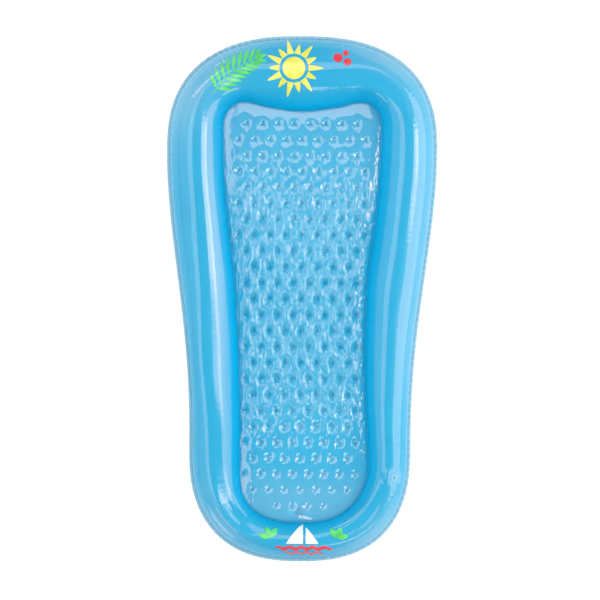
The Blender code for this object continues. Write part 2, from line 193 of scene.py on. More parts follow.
# Ridges, creases and wrinkles of the bed's film, which is slack in its middle and taut at its ends.
# Waves are (across, along), in radians for each half pitch and each row. Jitter has a size first.
SLACK_MIDDLE = (-0.02, 0.42)
RIDGE_HEIGHT = 0.0040
RIDGE_POWER = 1.5
RIDGE_WEAVE = 0.20
RIDGE_JITTER = ((0.17, 5.1, 2.9), (0.12, -2.3, 4.7))
RIDGE_UNEVENNESS = 0.25
UNEVEN_WAVES = ((1.9, 1.3), (0.7, -2.1))
CREASE_HEIGHT = 0.0013
CREASE_TAUT_SHARE = 0.3
CREASE_WAVES = ((3.1, 1.7), (1.3, -4.3))
WRINKLE_HEIGHT = 0.0030
WRINKLE_TAUT_SHARE = 0.12
WRINKLE_WIDTH = 0.0100
WRINKLE_LENGTH = 0.030

# Marks stored on the bed's film: shade round a weld dot, partly the weld's own colour and partly
# painted shade in its dimple, looseness, and painted reflection along the mat
WELD_SHADE_REACH = 0.0065
LEAST_LOOSENESS = 0.08
BED_PAINTED_REFLECTION = ((-0.68, 0.40), (-0.56, 0.00), (0.00, 0.00), (0.30, 0.20))

# Painted light on the ring's film, where it is pale, and a painted highlight over a crest: places
# and reaches along half the outline, then across the tube
SIDE_SHARPNESS = 2.2
RIGHT_RUN_PAINTED_LIGHT = 0.5
RIGHT_DARK_PATCH = (0.715, 0.08)
RIGHT_DARK_SHARE = 0.45
LEFT_BEND = (0.20, 0.08)
LEFT_RUN = (0.45, 0.18)
OUTSIDE_REACH = 0.48
OUTSIDE_POWER = 0.7
OUTSIDE_PAINTED_LIGHT = 0.85
INSIDE_LINE = (0.70, 0.09)
INSIDE_PAINTED_LIGHT = 0.35
CREST_BAND = (0.45, 0.25)
CREST_PAINTED_HIGHLIGHT = 0.25
MOST_PAINTED_LIGHT = 0.95

# Prints on the ring. A sail is (near edge, reach, bow, height), a band of waves (drop, half length,
# height, crests). Leaves spread from the frond's rib by degrees that close towards its tip.
PRINT_PITCH = 0.004
PRINT_LIFT = 0.0007
PRINT_THICKNESS = 0.0002
LEAF_SIDES = 24
DISC_SIDES = 36
RAY_STEPS, RIB_STEPS, SAIL_STEPS, WAVE_STEPS = 6, 16, 14, 72
SUN_PLACE = (-0.030, 0.776)
SUN_DISC_RADIUS = 0.038
SUN_RADIUS = 0.098
SUN_RAYS = 14
SHORT_RAY_SHARE = 0.84
RAY_START_SHARE = 1.28
RAY_HALF_WIDTH = 0.0098
RAY_TIP_HALF_WIDTH = 0.0014
RAY_POWER = 0.7
FROND_START = (-0.300, 0.690)
FROND_END = (-0.150, 0.812)
FROND_BOW = (-0.012, 0.012)
RIB_HALF_WIDTH = 0.0022
RIB_TAPER = 1.2
RIB_STEP = 0.02
FROND_LEAVES = 9
FROND_LEAF_WIDTH = 0.0135
FIRST_LEAF, LEAF_RUN = 0.10, 0.84
SHORTEST_LEAF, LEAF_GROWTH, LEAF_ARCH = 0.024, 0.040, (0.18, 0.72)
LEAF_SPREAD, LEAF_CLOSING = 62, 26
TIP_LEAF_LENGTH, TIP_LEAF_PLACE, TIP_HEADING = 0.040, 0.95, (0.96, 1.0)
BERRY_PLACE = (0.118, 0.812)
BERRIES = ((0.0, 0.0, 0.016), (0.032, -0.014, 0.013), (0.026, 0.017, 0.010))
SAIL_PLACE = (0.017, -0.826)
SAILS = ((-0.004, -0.058, 0.72, 0.064), (0.005, 0.044, 0.80, 0.054))
WAVES = ((0.015, 0.098, 0.013, 5), (0.033, 0.068, 0.007, 4))
WAVE_DEPTH = 0.0035
WAVE_END_POWER = 6
SPRIG_PLACES = ((-0.098, -0.806), (0.128, -0.806))
SPRIG_LEAF = (0.040, 0.021)
SPRIG_LEAN = 20
SPRIG_SPREAD = (-56, 0, 56)

# Colours as linear RGB, a darker and a lighter one for each material
RING_COLOURS = ((0.040, 0.465, 0.74), (0.052, 0.505, 0.78))
BED_COLOURS = ((0.050, 0.53, 0.83), (0.075, 0.58, 0.87))
OUTER_WELD_COLOURS = ((0.36, 0.60, 0.74), (0.42, 0.65, 0.78))
# The inner weld is lighter than the film: painted light that offsets the shade in its valley
INNER_WELD_LIT_COLOURS = ((0.07, 0.72, 0.94), (0.09, 0.76, 0.97))
WELD_DISC_COLOURS = ((0.010, 0.30, 0.52), (0.020, 0.34, 0.56))
PLUG_COLOURS = ((0.07, 0.27, 0.42), (0.09, 0.31, 0.46))
COLLAR_COLOURS = ((0.15, 0.49, 0.70), (0.19, 0.54, 0.74))
YELLOW_INK = ((0.62, 0.62, 0.06), (0.80, 0.78, 0.16))
GREEN_INK = ((0.06, 0.52, 0.10), (0.12, 0.66, 0.20))
RED_INK = ((0.64, 0.03, 0.06), (0.74, 0.06, 0.08))
WHITE_INK = ((0.78, 0.82, 0.88), (0.84, 0.86, 0.90))
COLOUR_SPOTS = (0.3, 0.7)

# Share of the light that each vinyl holds back, and its roughness
RING_FILM = (0.50, 0.10)
BED_FILM = (0.52, 0.055)
INSIDE_FILM = (0.04, 0.3)
OUTER_WELD_FILM = (0.60, 0.30)
INNER_WELD_FILM = (0.50, 0.2)
WELD_DISC_FILM = (0.9, 0.25)
VALVE_PLASTIC = (1.0, 0.45)

# Shades mixed into the films: pale painted light, deep painted shade in the valley by the inner
# weld and a darker shade round the weld dots; where across the film they start and end, and tints
# seen through it
PAINTED_LIGHT_VINYL = (0.42, 0.70, 0.86)
PAINTED_LIGHT_EDGE = (0.16, 0.0)
PAINTED_SHADE_VINYL = (0.000, 0.44, 0.80)
PAINTED_SHADE_EDGE = (0.64, 0.9)
WELD_SHADE = (0.040, 0.44, 0.69)
FILM_TINT = (0.06, 0.77, 0.91)
INSIDE_TINT = (0.8, 0.95, 0.99)

# Gloss of the vinyl, which is dull in the valley by the inner weld
GLOSS = 0.9
GLOSS_TINT = (1.0, 0.68, 0.58)
VALLEY_GLOSS_SHARE = 0.1
VALLEY_GLOSS_EDGE = (0.70, 0.85)
ROUGHNESS_SPREAD = (0.8, 1.25)
FILM_IOR, BED_IOR, VALVE_IOR = 1.65, 1.95, 1.45

# Noise textures as (scale, detail), and how deep and how strong their bumps are
VINYL_CLOUDS = (7.0, 3.0)
INK_CLOUDS = (22.0, 2.0)
ROUGHNESS_NOISE = (24.0, 2.0)
PEEL_NOISE, PEEL_DEPTH, PEEL_STRENGTH = (60.0, 2.0), 0.0006, 0.2
CRINKLE_NOISE, CRINKLE_DEPTH = (48.0, 1.0), 0.004
CRINKLE_STRETCH = (2.8, 1.0, 1.0)
GRAIN_NOISE, GRAIN_DEPTH, GRAIN_STRENGTH = (420.0, 1.0), 0.0001, 0.10
INK_ROUGHNESS, INK_COAT, INK_COAT_ROUGHNESS = 0.3, 0.6, 0.12

# Studio: floor, world and lamps. A lamp is (name, place, aim, (width, height), radiance).
FLOOR_HALF_SIDE = 40
FLOOR_COLOUR = (0.9, 0.9, 0.9)
FLOOR_WHITE = 1.08
FLOOR_WHITE_SHARE = 0.88
WORLD_LIGHT = 0.25
LAMPS = (
    ("left_panel", (-3.7, 0.1, 7.0), (0, 0.1, 0.1), (6.5, 3.4), 2.3),
    ("key_panel", (6.2, 0.45, 8.0), (0, 0.45, 0.1), (1.3, 4.4), 7.0),
    ("second_panel", (6.2, -0.40, 8.0), (0, -0.40, 0.1), (0.8, 4.4), 3.8),
    ("left_wall", (-4.4, 0.2, 2.2), (0, 0.2, 0.1), (6.0, 3.6), 0.85),
    ("right_wall", (3.9, 0.2, 2.0), (0, 0.2, 0.1), (5.0, 4.0), 3.3),
    ("foot_panel", (2.2, -5.0, 6.0), (0, 0, 0.1), (3.8, 2.6), 4.2),
    ("head_corner_panel", (-3.2, 3.7, 1.7), (0, 0.5, 0.1), (3.0, 1.8), 4.4),
    ("foot_corner_panel", (-3.2, -3.7, 1.7), (0, -0.5, 0.1), (2.4, 1.8), 3.0),
    ("head_panel", (0.1, 2.6, 6.2), (0, 0.6, 0.1), (3.0, 3.0), 2.2),
)

# Frame of the photograph: metres in a pixel at the seams' height, image centre and roll
IMAGE_SIDE = 600
METRES_PER_PIXEL = 0.00339
VIEW_CENTRE = (-0.0034, -0.0034)
VIEW_ROLL = 0.0079
CAMERA_HEIGHT = 12.0
CAMERA_REACH = 200
SEAM_LEVEL = 0.085
SENSOR = 36.0


def smooth_table(shares, x):
    """Values at the places x of a table of (place, value), eased between them and level outside."""
    places = np.array([place for place, _ in shares])
    values = np.array([value for _, value in shares])
    slopes = np.gradient(values, places)
    slopes[0] = slopes[-1] = 0.0
    x = np.clip(x, places[0], places[-1])
    i = np.clip(np.searchsorted(places, x, side="right") - 1, 0, len(places) - 2)
    span = places[i + 1] - places[i]
    t = (x - places[i]) / span
    return (
        values[i] * (1 + 2 * t) * (1 - t) ** 2
        + values[i + 1] * t * t * (3 - 2 * t)
        + slopes[i] * span * t * (1 - t) ** 2
        - slopes[i + 1] * span * t * t * (1 - t)
    )


def hump(x, centre, reach, power=2):
    """1 at the centre, fading to both sides, to 0.37 at reach. A higher power flattens its top."""
    return np.exp(-(((x - centre) / reach) ** power))


def eased(share):
    """A share from 0 to 1 that starts and ends gently."""
    return share * share * (3 - 2 * share)


def halved(shares):
    """Shares of the whole outline as shares of its half, from 0 at the head to 1 at the foot."""
    return 1 - np.abs(1 - 2 * shares)


def seam_height(y):
    """Height of the seams and of the bed's middle plane."""
    head_share = (y + HALF_LENGTH) / MAT_LENGTH
    return (FOOT_TUBE_HEIGHT + (HEAD_TUBE_HEIGHT - FOOT_TUBE_HEIGHT) * head_share) / 2


def half_outline():
    """Right half of the outline as closely spaced points, from the head's middle to the foot's."""
    head_y = HALF_LENGTH - HEAD_CURVE_DEPTH
    foot_y = FOOT_CURVE_DEPTH - HALF_LENGTH
    angles = np.linspace(0, math.pi / 2, OUTLINE_STEPS)
    across = np.clip(np.cos(angles), 0, 1) ** (2 / CURVE_POWER)
    along = np.sin(angles) ** (2 / CURVE_POWER)
    head = np.column_stack([HEAD_WIDTH / 2 * across, head_y + HEAD_CURVE_DEPTH * along])[::-1]
    foot = np.column_stack([FOOT_WIDTH / 2 * across, foot_y - FOOT_CURVE_DEPTH * along])
    down = np.linspace(1, 0, OUTLINE_STEPS)[1:-1]
    taper = (3 * down**2 - 2 * down**3) ** TAPER_POWER
    half_width = FOOT_WIDTH / 2 + (HEAD_WIDTH - FOOT_WIDTH) / 2 * taper
    sides = np.column_stack([half_width, foot_y + (head_y - foot_y) * down])
    return np.concatenate([head, sides, foot])


class Outline:
    """The mat's outline at evenly spaced stations, clockwise from the head's middle."""

    def __init__(self, count):
        half = half_outline()
        loop = np.concatenate([half, (half * (-1, 1))[-2::-1]])
        lengths = np.concatenate([[0], np.cumsum(np.linalg.norm(np.diff(loop, axis=0), axis=1))])
        shares = lengths / lengths[-1]

        def at(places):
            return np.column_stack([np.interp(places % 1, shares, loop[:, i]) for i in (0, 1)])

        self.length = lengths[-1]
        self.shares = np.arange(count) / count
        self.points = at(self.shares)
        tangents = at(self.shares + NORMAL_REACH) - at(self.shares - NORMAL_REACH)
        self.normals = np.column_stack([-tangents[:, 1], tangents[:, 0]])
        self.normals /= np.linalg.norm(self.normals, axis=1)[:, None]
        self.half_shares = halved(self.shares)
        self.widths = (
            SIDE_TUBE_WIDTH
            + (PILLOW_WIDTH - SIDE_TUBE_WIDTH) * smooth_table(PILLOW_SHARES, self.half_shares)
            + (FOOT_TUBE_WIDTH - SIDE_TUBE_WIDTH) * smooth_table(FOOT_SHARES, self.half_shares)
        )

    def inset(self, tube_share, extra):
        """Points inside the outline by tube_share of the tube's width plus extra."""
        depth = self.widths * tube_share + extra
        return self.points - self.normals * depth[:, None]


def loop_waves(shares, seed, terms):
    """A sum of waves round a loop, each given as (size, times round, share of the seed)."""
    turns = 2 * math.pi * shares
    return sum(size * np.sin(times * turns + shift * seed) for size, times, shift in terms)


def beat(shares, length, pitch, seed):
    """A phase that goes round once for each pitch along a loop, with uneven steps."""
    count = round(length / pitch)
    return count * (2 * math.pi * shares) + loop_waves(shares, seed, PUCKER_DRIFT)


def swell(shares, seed):
    """A slow change round the loop, between 0 and 1."""
    return 0.5 + loop_waves(shares, seed, SWELL_WAVES) / (2 * len(SWELL_WAVES))


def outer_pucker_size(outline):
    """Size of the puckers by the outer weld, up to 1, at each station."""
    return LEAST_PUCKER + (1 - LEAST_PUCKER) * swell(outline.shares, OUTER_SWELL_SEED)


def seam_wave(outline):
    """How much the outer weld stands up, from -1 to 1, and in, from 0 to 1, at each station."""
    phase = beat(outline.shares, outline.length, OUTER_PUCKER_PITCH, OUTER_SEED)
    size = outer_pucker_size(outline)
    return size * np.sin(phase), size * (0.5 + 0.5 * np.cos(phase))


def near_weld(distance):
    """0 at a weld, 1 at PUCKER_REACH from it, fading beyond."""
    return distance / PUCKER_REACH * np.exp(1 - distance / PUCKER_REACH)


def surface_normals(grid):
    """Unit normals of a grid of points whose first axis is a loop, from their neighbours."""
    around = np.roll(grid, -1, axis=0) - np.roll(grid, 1, axis=0)
    normals = np.cross(np.gradient(grid, axis=1), around)
    lengths = np.linalg.norm(normals, axis=2, keepdims=True)
    return normals / np.maximum(lengths, 1e-12)


def valve_seat(frame):
    """Where the ring's film lies on the valve's flange: the middle of the seat and the way out."""
    slide = next(joint for joint in frame["joints"] if joint["name"] == "ring_neck_slide")
    out = np.array(slide["axis"]) / np.linalg.norm(slide["axis"])
    boot = frame["nodes"]["ring_valve_boot"]
    corners = np.array([boot.matrix_world @ vert.co for vert in boot.data.vertices])
    middle = corners.mean(axis=0)
    lift = ((corners - middle) @ out).max() + SEAT_GAP + SHEET_THICKNESS
    return middle + out * lift, out


def level_seat(grid, seat):
    """Levels a film on a valve's flange, and blends it into its own shape round that."""
    centre, out = seat
    heights = (grid - centre) @ out
    reach = np.linalg.norm(grid - centre - heights[:, :, None] * out, axis=2)
    share = np.clip((VALVE_SEAT_RADIUS + VALVE_SEAT_BLEND - reach) / VALVE_SEAT_BLEND, 0, 1)
    share = eased(share) * (np.abs(heights) < VALVE_SEAT_RADIUS)
    return grid - out * (heights * share)[:, :, None]


def corner_share(outline):
    """1 in the four bends of the ring and 0 along its straight runs."""
    return hump(outline.half_shares, *HEAD_BEND) + hump(outline.half_shares, *FOOT_BEND)


def smooth_ring_film(outline, side, angles, inwards):
    """A ring film without its puckers and folds, [station][step]."""
    leans = (angles - math.pi / 2) / (math.pi / 2) * TUBE_HALF_ARC
    across = (1 + np.sin(leans) / math.sin(TUBE_HALF_ARC)) / 2
    rise = (np.cos(leans) - math.cos(TUBE_HALF_ARC)) / (1 - math.cos(TUBE_HALF_ARC))
    seam_depth = outline.normals * (inwards * SEAM_WAVE_DEPTH)[:, None]
    outer = outline.inset(0, OUTER_SEAM_WIDTH) - seam_depth
    inner = outline.inset(1, OUTER_SEAM_WIDTH)
    flat = outer[:, None] + (inner - outer)[:, None] * across[None, :, None]
    flat[:, :, 0] += smooth_table(BED_LEAN, flat[:, :, 1]) * across[None, :] ** 2
    push = CREST_PUSH * hump(outline.shares, *CREST_PLACE)
    arch = 4 * across * (1 - across)
    flat += (outline.normals * push[:, None])[:, None] * arch[None, :, None]
    middle = seam_height(flat[:, :, 1])
    z = middle + side * (SEAM_LIFT + (middle - SEAM_LIFT) * rise[None, :])
    return np.dstack([flat, z])


def ring_film(outline, side, steps):
    """Points of a ring film, [station][step], from the outer weld over the tube to the inner."""
    shares, angles = outline.shares, math.pi * np.arange(steps + 1) / steps
    up, inwards = seam_wave(outline)
    grid = smooth_ring_film(outline, side, angles, inwards)
    normals = surface_normals(grid) * side
    lengths = np.linalg.norm(np.diff(grid, axis=1), axis=2)
    from_outer = np.concatenate([np.zeros((len(grid), 1)), np.cumsum(lengths, axis=1)], axis=1)
    from_inner = from_outer[:, -1:] - from_outer

    # Puckers beside both welds
    inner_length = outline.length * INNER_LOOP_SHARE
    outer_phase = beat(shares, outline.length, OUTER_PUCKER_PITCH, OUTER_SEED)[:, None]
    inner_phase = beat(shares, inner_length, INNER_PUCKER_PITCH, INNER_SEED)[:, None]
    outer_height = OUTER_PUCKER_HEIGHT * outer_pucker_size(outline)[:, None]
    inner_height = INNER_PUCKER_HEIGHT * swell(shares, INNER_SWELL_SEED)[:, None]
    lift = outer_height * near_weld(from_outer) * np.cos(outer_phase)
    lift += inner_height * near_weld(from_inner) * np.cos(inner_phase)

    # Long shallow folds that run along the tube, strongest where it bends, and slow rolls round it
    turns, angles = 2 * math.pi * shares[:, None], angles[None, :]
    drift = FOLD_DRIFT[0] * np.sin(FOLD_DRIFT[1] * turns)
    folds = np.sin(FOLDS_ACROSS * angles + drift) * np.sin(angles) ** 2
    lift += (FOLD_HEIGHT + BEND_FOLD_HEIGHT * corner_share(outline)[:, None]) * folds
    lift += ROLL_HEIGHT * np.sin(ROLLS_AROUND * turns + 2 * angles) * np.sin(angles)

    # The film rises and falls with the outer weld
    grid += normals * lift[:, :, None]
    with_weld = np.exp(-from_outer / PUCKER_REACH)
    grid[:, :, 2] += with_weld * (up * SEAM_WAVE_HEIGHT)[:, None]
    grid[:, :, 2] = np.maximum(grid[:, :, 2], FLOOR_GAP)
    return grid


def ring_painted_light(outline, steps):
    """How much painted light a ring film gets, [station][step].

    It is painted pale outside in the bends and along the right, less so on a patch of the right
    run, along the inside of the left run, and as a painted highlight over the crest of the head's
    left bend.
    the crest of the head's left bend.
    """
    places, halves = np.arange(steps + 1) / steps, outline.half_shares
    rightwards = np.sin(2 * math.pi * outline.shares) * SIDE_SHARPNESS
    right, left = np.clip(rightwards, 0, 1), np.clip(-rightwards, 0, 1)
    right_run = right * (RIGHT_RUN_PAINTED_LIGHT - RIGHT_DARK_SHARE * hump(halves, *RIGHT_DARK_PATCH))
    left_bend = left * hump(halves, *LEFT_BEND)
    left_run = left * hump(halves, *LEFT_RUN, 4)
    most = np.clip(np.maximum.reduce([corner_share(outline), right_run, left_bend]), 0, 1)
    outside = np.clip(1 - places / OUTSIDE_REACH, 0, 1) ** OUTSIDE_POWER
    outer_side = OUTSIDE_PAINTED_LIGHT * most[:, None] * outside[None, :]
    inner_line = INSIDE_PAINTED_LIGHT * left_run[:, None] * hump(places, *INSIDE_LINE)[None, :]
    crest = CREST_PAINTED_HIGHLIGHT * left_bend[:, None] * hump(places, *CREST_BAND, 4)[None, :]
    return np.minimum(outer_side + (inner_line + crest), MOST_PAINTED_LIGHT)


def mesh_object(name, bm, smooth=True):
    """Makes an object of a bmesh, with its place in its mesh."""
    mesh = bpy.data.meshes.new(name)
    bm.to_mesh(mesh)
    bm.free()
    if smooth:
        mesh.shade_smooth()
    obj = bpy.data.objects.new(name, mesh)
    bpy.context.scene.collection.objects.link(obj)
    return obj


def grid_object(name, grid, closed, flip, painted_light=None):
    """An object of a grid of points. closed joins its ends to a loop, flip turns its faces over."""
    count, steps = grid.shape[0] - (0 if closed else 1), grid.shape[1] - 1
    bm = bmesh.new()
    bm.loops.layers.uv.new("film")
    # Painted light, stored at each point where it is given
    painted_pale = bm.verts.layers.float.new("painted_light")
    bmesh.ops.create_grid(bm, x_segments=count, y_segments=steps, size=1, calc_uvs=True)
    for vert in bm.verts:
        i = round((vert.co.x + 1) / 2 * count)
        j = round((vert.co.y + 1) / 2 * steps)
        vert.co = grid[i % len(grid), j]
        if painted_light is not None:
            vert[painted_pale] = painted_light[i % len(grid), j]
    if closed:
        bmesh.ops.remove_doubles(bm, verts=bm.verts, dist=1e-6)
    if flip:
        bmesh.ops.reverse_faces(bm, faces=bm.faces)
    return mesh_object(name, bm)


def give_thickness(obj, thickness, offset, inner_material=0):
    """Thickens a surface: inwards for an offset of -1, and to both sides alike for 0."""
    film = obj.modifiers.new("film", "SOLIDIFY")
    film.thickness = thickness
    film.offset = offset
    film.material_offset = inner_material
    return obj


def seam_band(name, outline, outer_inset, inner_inset, wave):
    """A flat weld between two insets of the outline, as wavy as the film beside it."""
    up, inwards = seam_wave(outline)
    depth = outline.normals * (inwards * SEAM_WAVE_DEPTH * wave)[:, None]
    rows = []
    for step in range(SEAM_ACROSS + 1):
        share = step / SEAM_ACROSS
        tube, extra = (a + (b - a) * share for a, b in zip(outer_inset, inner_inset))
        flat = outline.inset(tube, extra) - depth
        flat[:, 0] += smooth_table(BED_LEAN, flat[:, 1]) * tube**2
        height = SEAM_WAVE_HEIGHT * wave * (EDGE_WAVE - (EDGE_WAVE - 1) * share)
        rows.append(np.column_stack([flat, seam_height(flat[:, 1]) + up * height]))
    return grid_object(name, np.stack(rows, axis=1), True, False)


def flat_tree(places):
    """A tree that finds the nearest of some flat places."""
    tree = KDTree(len(places))
    for i, (x, y) in enumerate(places):
        tree.insert((x, y, 0), i)
    tree.balance()
    return tree


def bed_rim(outline):
    """The bed films' own edge, just inside the ring films' inner edge."""
    rim = outline.inset(1, OUTER_SEAM_WIDTH + RIM_GAP)
    rim[:, 0] += smooth_table(BED_LEAN, rim[:, 1])
    return rim


def lies_inside(x, y, loop):
    """True if a flat place is inside a closed loop of flat points."""
    following = np.roll(loop, -1, axis=0)
    straddles = (loop[:, 1] > y) != (following[:, 1] > y)
    near, far = loop[straddles], following[straddles]
    crossings = near[:, 0] + (far - near)[:, 0] * (y - near[:, 1]) / (far - near)[:, 1]
    return (crossings > x).sum() % 2 == 1


def dot_places(outline):
    """Flat places of the weld dots, in staggered rows inside the bed, with each one's row."""
    rim = outline.inset(1, OUTER_SEAM_WIDTH + INNER_SEAM_WIDTH)
    tree = flat_tree(rim)
    first_y = HALF_LENGTH - HEAD_TO_FIRST_ROW
    reach = int(DOT_FIELD_WIDTH / DOT_PITCH) + 1
    places = []
    for row in range(DOT_ROWS):
        row_width = LAST_ROW_WIDTH if row == DOT_ROWS - 1 else DOT_FIELD_WIDTH
        for step in range(-reach, reach + 1):
            x, y = step * DOT_PITCH / 2, first_y - row * ROW_PITCH
            staggered_out = (step + row) % 2 == 0
            if staggered_out or abs(x) > row_width / 2 or not lies_inside(x, y, rim):
                continue
            if tree.find((x, y, 0))[2] >= DOT_MARGIN:
                places.append((x, y, row))
    return np.array(places)


def fill_rim(rim, across, along):
    """A grid of flat points that fills the rim, blended evenly between its four sides."""
    middle_y = (rim[:, 1].max() + rim[:, 1].min()) / 2
    reach = np.array([rim[:, 0].max(), (rim[:, 1].max() - rim[:, 1].min()) / 2])
    right = (rim[: len(rim) // 2] - (0, middle_y)) / reach
    head_corner = np.argmax(right @ (1, 1)) / len(rim)
    foot_corner = np.argmax(right @ (1, -1)) / len(rim)
    places = np.arange(len(rim) + 1) / len(rim)
    closed = np.concatenate([rim, rim[:1]])

    def at(shares):
        return np.column_stack([np.interp(shares % 1, places, closed[:, i]) for i in (0, 1)])

    u, v = np.linspace(0, 1, across + 1), np.linspace(0, 1, along + 1)
    head, foot = at(head_corner * (2 * u - 1)), at(0.5 + (0.5 - foot_corner) * (1 - 2 * u))
    side = foot_corner + (head_corner - foot_corner) * v
    east, west = at(side), at(1 - side)
    u, v = u[:, None, None], v[None, :, None]
    ends = (1 - v) * foot[:, None] + v * head[:, None]
    sides = (1 - u) * west[None] + u * east[None]
    foot_corners = (1 - u) * foot[0] + u * foot[-1]
    head_corners = (1 - u) * head[0] + u * head[-1]
    return ends + sides - ((1 - v) * foot_corners + v * head_corners)


def slackness(y):
    """How slack the bed's film is along the mat: 1 in its middle, 0 at its ends."""
    return hump(y, *SLACK_MIDDLE, 4)


def ridges(x, y):
    """Height of the ridges and creases that the loose film stands up in.

    Two ridges pass each weld dot and meet beyond it.
    """
    column = x / (DOT_PITCH / 2)
    row = (HALF_LENGTH - HEAD_TO_FIRST_ROW - y) / ROW_PITCH

    def ripple(across, along):
        return np.sin(across * column + along * row)

    jitter = sum(size * ripple(across, along) for size, across, along in RIDGE_JITTER)
    weave = RIDGE_WEAVE * np.cos(math.pi * row) * np.sin(math.pi * column) + jitter
    crests = ((1 - np.cos(2 * math.pi * (column + weave))) / 2) ** RIDGE_POWER
    unevenness = RIDGE_UNEVENNESS * ripple(*UNEVEN_WAVES[0]) * ripple(*UNEVEN_WAVES[1])
    ridge = RIDGE_HEIGHT * slackness(y) * crests * (1 - RIDGE_UNEVENNESS + unevenness)
    crease_share = CREASE_TAUT_SHARE + (1 - CREASE_TAUT_SHARE) * slackness(y)
    crease = CREASE_HEIGHT * crease_share * (ripple(*CREASE_WAVES[0]) * ripple(*CREASE_WAVES[1]))
    return ridge + crease


def wrinkles(x, y):
    """Height of the fine wrinkles that run along the loose film between the ridges."""
    grain = [
        [noise.noise((px / WRINKLE_WIDTH, py / WRINKLE_LENGTH, 0)) for px, py in zip(*row)]
        for row in zip(x, y)
    ]
    share = WRINKLE_TAUT_SHARE + (1 - WRINKLE_TAUT_SHARE) * slackness(y)
    return WRINKLE_HEIGHT * share * np.array(grain)


def dimples(x, y, dots):
    """How far a bed film is drawn in to the weld dots: 1 at a dot, fading round it."""
    drawn = np.zeros_like(x)
    for dot_x, dot_y, row in dots:
        stretch = 1 + DIMPLE_STRETCH * hump(row, *STRETCHED_ROWS)
        near = (np.abs(x - dot_x) < DIMPLE_SPAN[0]) & (np.abs(y - dot_y) < DIMPLE_SPAN[1])
        r = np.hypot(x[near] - dot_x, (y[near] - dot_y) / stretch)
        slope = np.exp(-np.maximum(r - DOT_RADIUS, 0) / DOT_SLOPE_REACH)
        drawn[near] = np.maximum(drawn[near], slope)
    return drawn


def bed_film(rim, dots, side, across, along):
    """Points of a bed film, [across][along], dimpled at the weld dots and shaped round the valve.

    The lower film is flat where the valve's flange is welded to it, and the upper one swells over
    the valve, so that the check flap can swing.
    """
    tree = flat_tree(rim)
    flat = fill_rim(rim, across, along)
    x, y = flat[:, :, 0], flat[:, :, 1]
    depth = np.array([[tree.find((px, py, 0))[2] for px, py in row] for row in flat])
    inside = np.clip(depth / BED_ROUND_EDGE, 0, 1)
    valve_y = rim[:, 1].min() + BED_VALVE_TO_RIM
    r = np.hypot(x, y - valve_y)
    crown = BED_CROWN * smooth_table(BED_CROWN_SHARES, y)
    if side > 0:
        crown = crown + VALVE_SWELL_HEIGHT * hump(r, 0, VALVE_SWELL_REACH)
    loose = ridges(x, y) + wrinkles(x, y)
    rounded = crown * np.sin(math.pi / 2 * inside)
    lift = (rounded + loose * inside) * (1 - dimples(x, y, dots))
    if side < 0:
        blend = eased(np.clip((r - VALVE_PAD_RADIUS) / VALVE_PAD_BLEND, 0, 1))
        pad = VALVE_PAD_DEPTH + side * (seam_height(valve_y) - seam_height(y))
        lift = pad * (1 - blend) + lift * blend
    z = seam_height(y) + side * (SEAM_LIFT + SHEET_THICKNESS + lift)
    return np.dstack([flat, z])


def mark_film(bed, dots):
    """Stores at each point of a bed film how near a weld dot it is, for its shade, how loose it is,
    and how much painted reflection it gets where it is taut.
    """
    tree = flat_tree(dots[:, :2])
    reach = np.array([tree.find((vert.co.x, vert.co.y, 0))[2] for vert in bed.data.vertices])
    along = np.array([vert.co.y for vert in bed.data.vertices])
    looseness = LEAST_LOOSENESS + (1 - LEAST_LOOSENESS) * slackness(along)
    for name, values in (
        ("weld_and_dimple_shade", hump(reach, 0, WELD_SHADE_REACH)),
        ("looseness", looseness),
    ):
        marks = bed.data.attributes.new(name, "FLOAT", "POINT")
        marks.data.foreach_set("value", values.astype(np.float32))
    painted_pale = smooth_table(BED_PAINTED_REFLECTION, along) * (1 - looseness)
    bed.data.attributes["painted_light"].data.foreach_set("value", painted_pale.astype(np.float32))


def new_material(name):
    """A new material, with its node tree and its shader."""
    material = bpy.data.materials.new(name)
    material.use_nodes = True
    return material, material.node_tree, material.node_tree.nodes["Principled BSDF"]


def noise_of(tree, coordinates, scale, detail):
    """A noise texture's value, from 0 to 1."""
    texture = tree.nodes.new("ShaderNodeTexNoise")
    texture.inputs["Scale"].default_value = scale
    texture.inputs["Detail"].default_value = detail
    tree.links.new(coordinates, texture.inputs["Vector"])
    return texture.outputs["Fac"]


def clouded(tree, coordinates, clouds, colours):
    """A slightly uneven colour, in soft clouds between a darker and a lighter one."""
    ramp = tree.nodes.new("ShaderNodeValToRGB")
    for element, colour, spot in zip(ramp.color_ramp.elements, colours, COLOUR_SPOTS):
        element.color = (*colour, 1)
        element.position = spot
    tree.links.new(noise_of(tree, coordinates, *clouds), ramp.inputs["Fac"])
    return ramp.outputs["Color"]


def ranged(tree, value, low, high, start=0.0, end=1.0):
    """Goes evenly from low to high while the value goes from start to end."""
    change = tree.nodes.new("ShaderNodeMapRange")
    change.inputs["From Min"].default_value = start
    change.inputs["From Max"].default_value = end
    change.inputs["To Min"].default_value = low
    change.inputs["To Max"].default_value = high
    tree.links.new(value, change.inputs["Value"])
    return change.outputs["Result"]


def stored(tree, mark):
    """A mark that is stored at the film's points."""
    marks = tree.nodes.new("ShaderNodeAttribute")
    marks.attribute_name = mark
    return marks.outputs["Fac"]


def shaded(tree, colour, share, shade):
    """A colour with a share of a shade mixed in."""
    blend = tree.nodes.new("ShaderNodeMix")
    blend.data_type = "RGBA"
    blend.inputs["B"].default_value = (*shade, 1)
    tree.links.new(share, blend.inputs["Factor"])
    tree.links.new(colour, blend.inputs["A"])
    return blend.outputs["Result"]


def bumped(tree, height, depth, strength=1.0, under=None):
    """A bump node of a height texture, laid on the bump that is under it."""
    bump = tree.nodes.new("ShaderNodeBump")
    bump.inputs["Strength"].default_value = strength
    bump.inputs["Distance"].default_value = depth
    tree.links.new(height, bump.inputs["Height"])
    if under is not None:
        tree.links.new(under.outputs["Normal"], bump.inputs["Normal"])
    return bump


